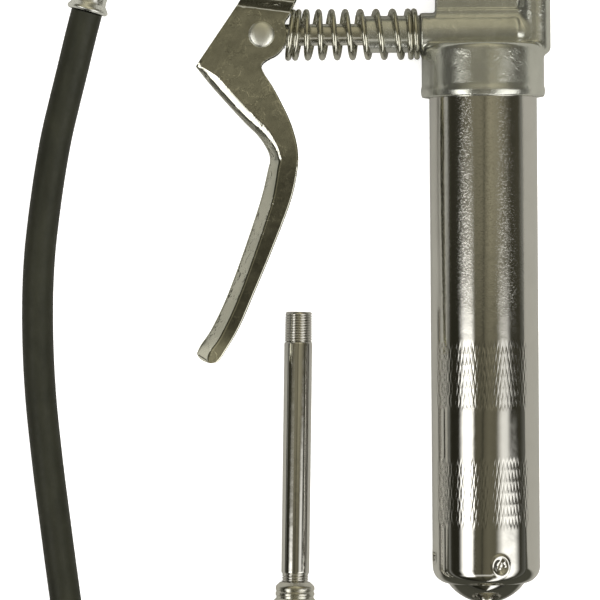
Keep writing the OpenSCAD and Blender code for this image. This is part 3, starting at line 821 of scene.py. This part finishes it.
SHEET_T = 1.6
FRONT_TOP = [(6.1, -7.1), (-18.9, -43.4)]
FRONT_UPPER = [(-20.2, -45.4), (-14.1, -53), (-3.6, -64.7), (2.2, -70.6), (5.6, -76.0), (6.4, -79.6)]
FRONT_LOWER = [(6.4, -79.6), (5.7, -82.6), (2.9, -93.8), (-3, -111.2), (-9.6, -128.6),
               (-15.3, -140.4), (-19.4, -146.4), (-20.8, -149.4)]
REAR_UPPER = [(3.5, -45.6), (4.6, -48.2), (7.7, -53), (10.9, -59), (13.5, -64.5), (15.4, -70),
              (16.6, -76)]
REAR_LOWER = [(16.6, -76), (16.5, -82.3), (14, -93.9), (7.3, -111.3), (-0.1, -128.7),
              (-5.3, -140.3), (-10.6, -149.2), (-12.6, -152)]
LEVER_TOP_R = 7.5
LOBE_R = 9.1
LOBE_TOP, LOBE_END = -26.4, -41.7
NECK_X = 14


def cheek_height(x, y):
    """Outside half width of the lever: wide at the arm, narrow at the plunger, wider in the grip."""
    turn = math.radians(-7.5)
    level = -24.6 + (-(x - PIN[0]) * math.sin(turn) + (y + 24.6) * math.cos(turn))
    step = smooth(level, -25.4, -20.4)
    grip = 1.3 * smooth(-y, 44, 64) - 0.9 * smooth(-y, 95, 145)
    tip = 1.4 * smooth(-y, 139, 158)
    return 6.2 + 3.2 * step + grip + tip


def cheek_rows():
    """Front and rear points of the rows above the corner, from the pivot's top down."""
    top = PIVOT[1] + LEVER_TOP_R
    turns = np.radians(np.array([3, 12, 24, 36, 48, 58.7]))
    heights = list(top - LEVER_TOP_R * (1 - np.cos(turns)))
    heights += list(np.linspace(heights[-1] - 0.9, -44.6, 52))
    rows = []
    for y in heights:
        if y > FRONT_TOP[0][1]:
            front = PIVOT[0] - math.sqrt(LEVER_TOP_R ** 2 - (y - PIVOT[1]) ** 2)
        else:
            t = (y - FRONT_TOP[0][1]) / (FRONT_TOP[1][1] - FRONT_TOP[0][1])
            front = FRONT_TOP[0][0] + t * (FRONT_TOP[1][0] - FRONT_TOP[0][0])
        circle = PIVOT[0] + math.sqrt(max(LEVER_TOP_R ** 2 - (y - PIVOT[1]) ** 2, 0))
        lobe = PIN[0] + math.sqrt(max(LOBE_R ** 2 - (y - PIN[1]) ** 2, 0))
        if y > PIVOT[1]:
            rear = circle
        elif y > LOBE_TOP:
            t = (y - PIVOT[1] + 2) / (LOBE_TOP - PIVOT[1] + 2)
            line = PIVOT[0] + LEVER_TOP_R + t * (NECK_X - PIVOT[0] - LEVER_TOP_R)
            rear = min(line, PIVOT[0] + LEVER_TOP_R)
        elif y > LOBE_END:
            t = smooth(y, -31, LOBE_TOP)
            rear = lobe * (1 - t) + t * NECK_X
        else:
            throat_x, throat_y = REAR_UPPER[0]
            t = (y - LOBE_END) / (throat_y - LOBE_END)
            at = PIN[0] + math.sqrt(LOBE_R ** 2 - (LOBE_END - PIN[1]) ** 2)
            rear = at + (throat_x - at) * math.sin(min(t, 1) * np.pi / 2) ** 0.9
        rows.append(((front, y), (rear, y)))
    return rows


def edge_line(upper, lower):
    """One smooth edge of the lever through both lists of points: 48 rows, then 71."""
    line = spline(upper + lower[1:], 8)
    split = (len(upper) - 1) * 8
    return np.vstack([resample(line[:split + 1], 48), resample(line[split:], 72)[1:]])


def handle_rows():
    """Front and rear points of the rows from the corner to the tip."""
    front = edge_line(FRONT_UPPER, FRONT_LOWER)
    rear = edge_line(REAR_UPPER, REAR_LOWER)
    rows = [(tuple(f), tuple(r)) for f, r in zip(front, rear)]
    for f, r in (((-20.4, -150.4), (-13.2, -152.5)), ((-19.6, -151.4), (-14.2, -152.8)),
                 ((-18.4, -152.2), (-15.4, -152.95))):
        rows.append((f, r))
    return rows


def bend_profile(grip, fade):
    """Inset from the front edge, drop from the cheek's plane and tilt, from the cheek round to the web.

    Near the corner most of the bend is a shallow facet, which has gone at fade 1. In the grip (grip 1)
    the bend is a steep flank."""
    spans = ((0, 20, 5, 0.12, 0.10, grip), (20, 27, 9, 0.23, 0.03, fade), (30, 44, 8, 0.11, 0.08, grip),
             (46, 49, 9, 0.15, 0.58, grip), (52, 90, 11, 0.11, 0.11, grip))
    tilt = np.radians(np.concatenate([np.linspace(a, b, n) for a, b, n, *_ in spans]))
    size = np.concatenate([np.full(n, facet + (flank - facet) * share)
                           for _, _, n, facet, flank, share in spans])
    inset = np.cumsum((size * np.cos(tilt))[::-1])[::-1]
    drop = np.concatenate([[0], np.cumsum(size * np.sin(tilt))[:-1]])
    return inset, drop, tilt


def lever_skins(rows, corner):
    """Outer and inner points of one half of the lever, as grids over rows and columns.

    The columns run from the rear edge over the cheek and the bend to the middle of the front web. Returns
    the grids and the number of columns before the web."""
    cheek_cols, web_cols = 14, 8
    turn = np.radians([0, 20, 40, 60, 80])
    flat_cols = len(turn) + cheek_cols
    front_line = np.array([r[0] for r in rows])
    tangent = np.gradient(front_line, axis=0)
    tangent /= np.linalg.norm(tangent, axis=1)[:, None]
    outer, inner = [], []
    for i, (front, rear) in enumerate(rows):
        front, rear = np.array(front), np.array(rear)
        width = np.linalg.norm(rear - front)
        across = (rear - front) / width
        grip = float(smooth(i - corner, 22, 66))
        bent = float(smooth(i - corner, -2.5, 0.0))
        edge_r = 0.15 + 0.5 * float(smooth(i - corner, 2, 20))
        edge_in, edge_drop = edge_r * (1 - np.cos(turn)), edge_r * (1 - np.sin(turn))
        inset, drop, tilt = bend_profile(grip, float(smooth(i - corner, 26, 50)))
        taper = 0.4 + 0.6 * float(smooth(i - corner, -1, 6))
        inset, drop = inset * taper, drop * taper
        square = abs(across[0] * tangent[i][1] - across[1] * tangent[i][0])
        inset = inset * min(1 / max(square, 0.5), width * 0.62 / inset[0])
        edge = np.minimum(inset, edge_r)
        bare = edge_r - np.sqrt(edge_r ** 2 - (edge_r - edge) ** 2)
        s = np.concatenate([width - edge_in,
                            np.linspace(width - 1.05 * edge_r, inset[0], cheek_cols, endpoint=False),
                            inset, np.zeros(web_cols)])
        fall = np.concatenate([edge_drop, np.zeros(cheek_cols), drop * bent + bare * (1 - bent),
                               np.zeros(web_cols)])
        lean = np.concatenate([np.zeros(flat_cols), tilt * bent, np.full(web_cols, tilt[-1] * bent)])
        flat = front + s[:, None] * across
        height = cheek_height(flat[:, 0], flat[:, 1])
        z = height - fall
        inside = np.where(np.arange(len(s)) < flat_cols, height, z) - SHEET_T * np.cos(lean)
        down = 1 - (np.arange(web_cols) + 1) / web_cols
        z[-web_cols:] = z[-web_cols - 1] * down
        inside[-web_cols:] = inside[-web_cols - 1] * down
        outer.append(np.column_stack([flat, z]))
        inner.append(np.column_stack([flat + (SHEET_T * np.sin(lean))[:, None] * across, inside]))
    return np.array(outer), np.array(inner), flat_cols + len(tilt)


def make_lever():
    upper, lower = cheek_rows(), handle_rows()
    rows, corner = upper + lower, len(upper)
    outer, inner, folded = lever_skins(rows, corner)
    n_rows, n_cols = outer.shape[:2]
    layer = n_rows * n_cols
    skins = [outer.reshape(-1, 3), inner.reshape(-1, 3)]
    flip = np.array([1, 1, -1])
    points = np.vstack(skins + [skin * flip for skin in skins])
    faces = []
    for side in (0, 2 * layer):
        def wall(a, b):
            faces.append((side + a, side + b, side + layer + b, side + layer + a))
        for i in range(n_rows):
            row = i * n_cols
            last = n_cols - 1 if i >= corner else folded - 1
            for j in range(last):
                a, b = row + j, row + j + 1
                if i < n_rows - 1:
                    for skin in (side, side + layer):
                        faces.append((skin + a, skin + a + n_cols, skin + b + n_cols, skin + b))
                if i in (0, n_rows - 1) or (i == corner and j >= folded - 1):
                    wall(a, b)
            if i < n_rows - 1:
                wall(row, row + n_cols)
            if i < corner:
                wall(row + folded - 1, row + n_cols + folded - 1)
    lever = add_mesh("lever_body", points, faces, SHEET, 45)
    work = bmesh.new()
    work.from_mesh(lever.data)
    bmesh.ops.remove_doubles(work, verts=work.verts, dist=0.00001)
    loose = [v for v in work.verts if not v.link_faces]
    bmesh.ops.delete(work, geom=loose, context="VERTS")
    bmesh.ops.recalc_face_normals(work, faces=work.faces)
    work.to_mesh(lever.data)
    work.free()
    lever.data.shade_smooth()
    lever.data.set_sharp_from_angle(angle=math.radians(45))
    return fit(lever, "lever", "pressed_steel", "lever")


def make_rivets():
    for name, node, centre, half in (("pivot_rivet", "lever_pivot_rivet", PIVOT, pivot_high[2]),
                                     ("plunger_pin_rivet", "plunger_rivet", PIN, pin_high[2])):
        head_h, head_r, shank = 2.1, 4.7, 2.45
        face = half - head_h
        dome = [(head_r * math.sin(a) ** 0.85, face + 0.5 + (head_h - 0.5) * math.cos(a), 0)
                for a in np.linspace(0, np.pi / 2, 14)]
        dome += [(head_r, face + 0.2, 0.1)]
        side = dome + [(head_r - 0.25, face, 0), (shank, face, 0)]
        corners = side + [(r, -z, t) for r, z, t in side[::-1]]
        placed = axes((centre[0], centre[1], 0), (0, 0, 1), (1, 0, 0))
        rivet = turned_piece(name, corners, placed, RIVET, sides=64)
        fit(rivet, "lever", "plated_steel", node)


def make_plunger():
    placed = axes((0, PUMP_Y, 0), (1, 0, 0), (0, 0, 1))
    start = PIN[0] + 7.5
    corners = [(0, start, 0), (PLUNGER_R, start, 0.3), (PLUNGER_R, rod_high[0], 0.6),
               (0, rod_high[0], 0)]
    rod = turned_piece("plunger_rod", corners, placed, ZINC, sides=64)
    fit(rod, "plunger", "plated_steel", "plunger")
    # flattened eye: a plate with a slot, blended into the rod
    n = 72
    angle = around(n)
    outer = np.stack([6.0 * np.cos(angle), 6.0 * np.sin(angle)], 1)
    root = np.maximum(outer[:, 0], 8.4 * (np.cos(angle) > 0.72))
    outer[:, 0] = np.where(outer[:, 0] > 3.2, root, outer[:, 0])
    slot = np.stack([2.75 * np.cos(angle), 2.75 * np.sin(angle) + 0.9 * np.sign(np.sin(angle))], 1)
    centre = np.array([PIN[0], PUMP_Y - 0.85])
    levels = [(slot, -4.1), (outer * 0.97, -4.1), (outer, -3.7), (outer, 3.7), (outer * 0.97, 4.1),
              (slot, 4.1)]
    rows = [np.column_stack([centre + outline, np.full(n, z)]) for outline, z in levels]
    points, faces = rings(rows, closed_loop=True)
    eye = add_mesh("plunger_eye", points, faces, ZINC, 35)
    fit(eye, "plunger", "plated_steel")


# ---------------------------------------------------------------- tube, couplers, hose ends

def make_tube():
    place, axis, dims = mount_mm("tube_thread")
    length = dims["length_mm"]
    start = place + axis * length / 2
    placed = axes(start, -axis, (0, 0, 1))
    mouth, _, _ = mount_mm("tube_coupler_mouth")
    to_coupler = np.linalg.norm(mouth - start) - COUPLER_REACH
    tube_r, bore = 5.15, 2.4
    steps = np.arange(0.5, length, PITCH / 8)
    lower = np.arange(to_coupler - 3.0, to_coupler + 7.5, PITCH / 8)
    corners = [(bore + 0.3, 0, 0), (THREAD_R - 0.5, 0, 0.1)]
    corners += [(THREAD_R + 0.06 + 0.12 * s / length, s, 0) for s in steps]
    corners += [(THREAD_R - 0.1, length, 0), (tube_r - 0.15, length + 0.35, 0.1),
                (tube_r, length + 0.7, 0.1)]
    corners += [(tube_r, s, 0) for s in np.linspace(length + 2, to_coupler - 4, 12)]
    corners += [(tube_r, to_coupler - 3.5, 0.1), (THREAD_R, to_coupler - 3.1, 0.1)]
    corners += [(THREAD_R - 0.02, s, 0) for s in lower]
    corners += [(bore, to_coupler + 7.8, 0), (bore, 0.4, 0)]
    first = thread(THREAD_R - 0.12, 0.5, PITCH, 0.2, length + 0.6)
    second = thread(THREAD_R, 0.5, PITCH, to_coupler - 3.2, to_coupler + 8)

    def wobble(angle, z, r):
        return first(angle, z, r) * (z < length + 0.3) + second(angle, z, r) * (z > length + 0.3)
    tube = turned_piece("delivery_tube", corners, placed, CHROME, sides=96, solid=False,
                        wobble=wobble, sharp=60)
    fit(tube, "rigid_tube", "chrome_plate", "rigid_tube")
    return axes(start - axis * to_coupler, -axis, (0, 0, 1)), -axis, start - axis * to_coupler


def make_coupler(kind, placed, body, jaw_body):
    """Grease coupler along local Z: threaded neck, sleeve, jaws, seal and spring."""
    neck, wide, length, sleeve_z = 7.2, 8.05, 42.0, 6.0
    spring_z, spring_length = 14, 11.5
    corners = [(5.1, 0.9, 0), (5.1, 0.1, 0), (neck - 1.7, 0, 0.9), (neck, 1.6, 1.3), (neck, 2.9, 0.1),
               (neck - 0.3, 3.2, 0.1), (neck - 0.3, 3.6, 0.1), (neck, 3.9, 0.1), (neck, 4.8, 0.1),
               (neck - 0.35, 5.2, 0.1), (neck - 0.35, 6.3, 0), (5.9, 6.3, 0), (5.9, spring_z, 0.3),
               (1.6, spring_z, 0), (1.6, 9, 0), (4.75, 9, 0)]
    neck_piece = turned_piece(f"{kind}_coupler_neck", corners, placed, ZINC, sides=96, solid=False)
    fit(neck_piece, body, "plated_steel", f"{kind}_coupler_body")
    ridges = 44

    def grip(angle, z, r):
        on = (r > wide - 0.2) * smooth(z, 14, 15.2) * smooth(z, 27.4, 26.2)
        return -0.28 * on * (0.5 + 0.5 * np.cos(angle * ridges))
    corners = [(6.05, sleeve_z, 0), (7.1, sleeve_z, 0.3), (wide, sleeve_z + 1.1, 0.5),
               (wide, 12.4, 0.2), (wide - 0.35, 12.8, 0.2), (wide - 0.35, 13.4, 0.2)]
    corners += [(wide, z, 0) for z in np.arange(13.9, 28.2, 0.45)]
    corners += [(wide - 0.35, 28.6, 0.2), (wide - 0.35, 29.2, 0.2), (wide, 29.6, 0.2),
                (wide, length - 6.4, 0.8), (6.7, length - 0.4, 0.4), (6.3, length, 0.3),
                (4.7, length, 0.2), (4.4, length - 0.4, 0.1), (4.4, length - 3.6, 0.2),
                (6.05, length - 6, 0.2), (6.05, 20, 0)]
    sleeve = turned_piece(f"{kind}_coupler_sleeve_body", corners, placed, ZINC, sides=176, solid=False,
                          wobble=grip)
    fit(sleeve, body, "plated_steel", f"{kind}_coupler_sleeve")
    # four jaws that close on the grease fitting
    parts, faces, base = [], [], 0
    for quarter in range(4):
        outline = [(3.4, 28.5), (5.5, 28.5), (5.5, length - 6.2), (4.5, 38), (3.4, 38)]
        angles = np.radians(np.linspace(6, 84, 12) + 90 * quarter)
        rows = [np.array([(r * math.cos(a), r * math.sin(a), z) for r, z in outline]) for a in angles]
        p, f = rings(rows)
        parts.append(p)
        faces += [tuple(v + base for v in face) for face in f]
        base += len(p)
    jaws = add_mesh(f"{kind}_coupler_jaw_set", placed(np.vstack(parts)), faces, ZINC, 35)
    fit(jaws, jaw_body, "plated_steel", f"{kind}_coupler_jaws")
    corners = [(1.3, 25.5, 0), (5.4, 25.5, 0.4), (5.4, 28.4, 0.4), (1.3, 28.4, 0)]
    seal = turned_piece(f"{kind}_coupler_seal_ring", corners, placed, SEAL, sides=48, solid=False)
    fit(seal, jaw_body, "seal_rubber", f"{kind}_coupler_seal")
    spring_piece(f"{kind}_coupler_spring_coil", lambda p: placed(np.asarray(p) + [0, 0, spring_z]), body,
                 f"{kind}_coupler_spring",
                 4.6, 0.9, spring_length, 5, 1, steps=28,
                 sides=8)


def make_hose_end(kind, origin, direction):
    """Crimped ferrule with a flared rim, hexagon and threaded nipple, along direction."""
    placed = axes(origin, direction, (0, 0, 1))
    length, ferrule_r, rim = 23.0, 6.1, 7.7
    flutes = 10

    def crimp(angle, z, r):
        on = (r > 5.9) * smooth(z, 4.2, 6.0) * smooth(z, length - 2.0, length - 4.0)
        return on * (-0.12 - 0.16 * np.cos(angle * flutes))
    corners = [(HOSE_R - 0.6, 1.2, 0), (HOSE_R + 0.1, 0.2, 0.1), (rim - 0.7, 0.1, 0.3), (rim, 0.9, 0.5),
               (rim - 0.3, 1.7, 0.4), (ferrule_r + 0.1, 3.3, 0.8)]
    corners += [(ferrule_r, z, 0) for z in np.arange(4.2, length - 1.2, 0.6)]
    corners += [(ferrule_r, length - 0.9, 0.3), (ferrule_r - 0.8, length, 0.3), (1.6, length, 0),
                (1.6, 14, 0)]
    ferrule = turned_piece(f"{kind}_crimped_ferrule", corners, placed, CRIMP, sides=120, solid=False,
                           wobble=crimp)
    fit(ferrule, "hose", "plated_steel", f"hose_{kind}_ferrule")
    hexa = hexagon(6.2, 6.8, 1.7, lambda p: placed(np.asarray(p) + [0, 0, length + 0.1]),
                   f"{kind}_nipple_hexagon", ZINC)
    fit(hexa, "hose", "plated_steel", f"hose_{kind}_nipple")
    start, end = length + 6.8, length + 7 + 10
    corners = [(1.6, start, 0), (4.3, start, 0)]
    heights = np.arange(start + 0.4, end - 0.4, PITCH / 8)
    corners += [(THREAD_R - 0.12 * (z - start) / 10, z, 0) for z in heights]
    corners += [(4.2, end, 0.2), (1.6, end, 0)]
    screw = turned_piece(f"{kind}_nipple_thread", corners, placed, ZINC, sides=72, solid=False,
                         wobble=thread(THREAD_R - 0.06, 0.5, PITCH, start + 0.2, end + 0.2), sharp=60)
    fit(screw, "hose", "plated_steel")
    return [ferrule, hexa, screw]


def carry_over():
    """CAD nodes whose shape is right as it is keep their mesh and get a finished material."""
    finish = {"barrel_gasket": SEAL, "plunger_seal": SEAL, "check_ball": ZINC, "follower_cup": SEAL,
              "follower_plate": ZINC, "follower_nut": ZINC}
    for node, material in finish.items():
        mesh = frame["nodes"][node].data
        mesh.materials.clear()
        mesh.materials.append(material)


# ---------------------------------------------------------------- studio

def make_world():
    """A studio seen in the metal: a dim warm ceiling, two tall strip lights with dark gaps beside them,
    and a third light beyond the barrel's end."""
    world = bpy.data.worlds.new("studio")
    scene.world = world
    world.use_nodes = True
    world.node_tree.nodes.clear()
    g = Graph(world.node_tree)
    x, y, z = g.split(g.add("ShaderNodeTexCoord").outputs["Generated"])
    across = g.math("DEGREES", g.math("ARCTAN2", x, z))
    flat = g.math("SQRT", g.plus(g.times(x, x), g.times(z, z)))
    lean = g.math("DIVIDE", y, g.math("MAXIMUM", flat, 0.001))
    # the lamps hang a little askew, so their places shift with the height looked at
    off_centre = g.math("DIVIDE", across, 85.0)
    skew = g.math("MAXIMUM", g.math("SUBTRACT", 1.0, g.times(off_centre, off_centre)), 0.0)
    height = g.math("MINIMUM", g.math("MAXIMUM", lean, -0.1), 0.05)
    shift = g.times(g.math("SUBTRACT", 0.03, height), 100.0)
    across = g.plus(across, g.times(shift, skew))

    def tan(level):
        return (level, level * 0.92, level * 0.64)
    stops = [(-100, (0.42, 0.42, 0.39)), (-88, (0.5, 0.5, 0.46)), (-82, tan(0.05)), (-74, tan(0.026)),
             (-55, tan(0.03)), (-45, tan(0.12)), (-28, tan(0.21)), (-10, tan(0.25)), (-3.5, tan(0.22)),
             (0, tan(0.09)), (3.5, tan(0.28)), (13, tan(0.38)), (31, tan(0.28)), (47, tan(0.13)),
             (60, tan(0.05)), (78, tan(0.065)), (90, (0.33, 0.33, 0.3))]
    at = g.math("DIVIDE", g.plus(across, 100.0), 200.0)
    room = g.ramp(at, [((a + 100) / 200, colour) for a, colour in stops])
    dim = g.plus(g.rise(lean, -0.03, 0.008, 0.45, 1.0), g.rise(lean, 0.12, 0.8, 0.0, 0.9))
    dim = g.times(dim, g.rise(lean, -2.2, -0.9, 0.4, 1.0))
    room = g.shade(room, dim)
    left = g.times(g.rise(across, -59, -40), g.rise(across, -17, -27))
    glow = g.plus(g.rise(lean, 0.03, 0.0, 0.0, 0.06), g.rise(lean, -0.010, -0.036, 0.0, 0.94))
    left = g.times(left, glow)
    left = g.times(left, g.rise(lean, -1.3, -0.9))
    near = g.times(g.rise(across, 27, 42), g.rise(across, 60, 48))
    near = g.times(near, g.rise(lean, -0.010, -0.030))
    wide = g.times(g.rise(across, 31, 46), g.rise(across, 78, 64))
    wide = g.times(wide, g.rise(lean, -0.058, -0.085))
    right = g.math("MAXIMUM", near, g.times(wide, 1.8))
    front = g.times(g.band(lean, -0.98, -0.66, 0.08), g.band(across, -60, 70, 12))
    light = g.plus(g.times(left, 2.6), g.times(right, 1.05))
    light = g.plus(light, g.times(front, 0.6))
    lamp = g.shade((1.0, 0.99, 0.95), light)
    both = g.add("ShaderNodeVectorMath", {0: room, 1: lamp}, operation="ADD")
    both = g.add("ShaderNodeVectorMath", {0: both.outputs["Vector"], 1: (0.014, 0.014, 0.009)},
                 operation="ADD")
    background = g.add("ShaderNodeBackground", {"Color": both.outputs["Vector"], "Strength": 1.0})
    out = g.add("ShaderNodeOutputWorld")
    world.node_tree.links.new(background.outputs[0], out.inputs["Surface"])


def make_floor():
    """Pale table top, evenly bright to the camera.

    Rays not from the camera see painted shade, a darker tone that is darkest past the barrel's end, so the
    table is darker in the metal's reflections than it looks.
    """
    half = 4000.0
    level = -BEAD_R - 0.02
    corners = [(-half, -half, level), (half, -half, level), (half, half, level), (-half, half, level)]
    material, g, shader = new_material("table_top")
    seen = g.add("ShaderNodeLightPath").outputs["Is Camera Ray"]
    along = g.split(g.place())["Y"]
    # painted shade: only reflections see this darker tone, darkest past the barrel's end
    painted_reflection_shade = g.ramp(g.rise(along, -0.262, -0.243), [(0, (0.05, 0.05, 0.04)), (1, (0.34, 0.335, 0.31))])
    tone = g.add("ShaderNodeMix", {0: seen, 6: painted_reflection_shade, 7: (0.95, 0.95, 0.95, 1)}, data_type="RGBA")
    g.set(shader.inputs["Base Color"], tone.outputs[2])
    shader.inputs["Roughness"].default_value = 0.9
    shader.inputs["Specular IOR Level"].default_value = 0.0
    shader.inputs["Emission Color"].default_value = (1, 1, 1, 1)
    g.set(shader.inputs["Emission Strength"], g.times(seen, 0.5))
    floor = add_mesh("floor", corners, [(0, 1, 2, 3)], material)


def make_lights():
    """A large soft light overhead for the table and the rubber; the metal doesn't mirror it."""
    data = bpy.data.lights.new("overhead", "AREA")
    data.shape = "SQUARE"
    data.size = 2.4
    data.energy = 62
    lamp = bpy.data.objects.new("overhead", data)
    lamp.location = (0.25, 0.1, 1.9)
    lamp.rotation_euler = Vector((0.25, 0.2, 1.9)).to_track_quat("Z", "Y").to_euler()
    lamp.visible_glossy = False
    lamp.visible_camera = False
    scene.collection.objects.link(lamp)


make_world()
make_floor()
make_lights()
scene.view_settings.view_transform = "Standard"

make_barrel()
make_end_cap()
make_rod()
make_head()
make_check_plug()
make_port_thread()
make_springs()
make_lever()
make_rivets()
make_plunger()
tube_placed, tube_way, tube_end = make_tube()
make_coupler("tube", tube_placed, "rigid_tube", "tube_jaws")
hose_mouth, hose_way, _ = mount_mm("hose_coupler_mouth")
hose_start = hose_mouth - hose_way * COUPLER_REACH
hose_placed = axes(hose_start, hose_way, (0, 0, 1))
_, inlet_way, _ = mount_mm("hose_thread")
make_hose_end("inlet", hose_path[0], inlet_way)
outlet_pieces = make_hose_end("outlet", hose_path[-1], hose_way)
make_coupler("hose", hose_placed, "hose", "hose_jaws")
carry_over()
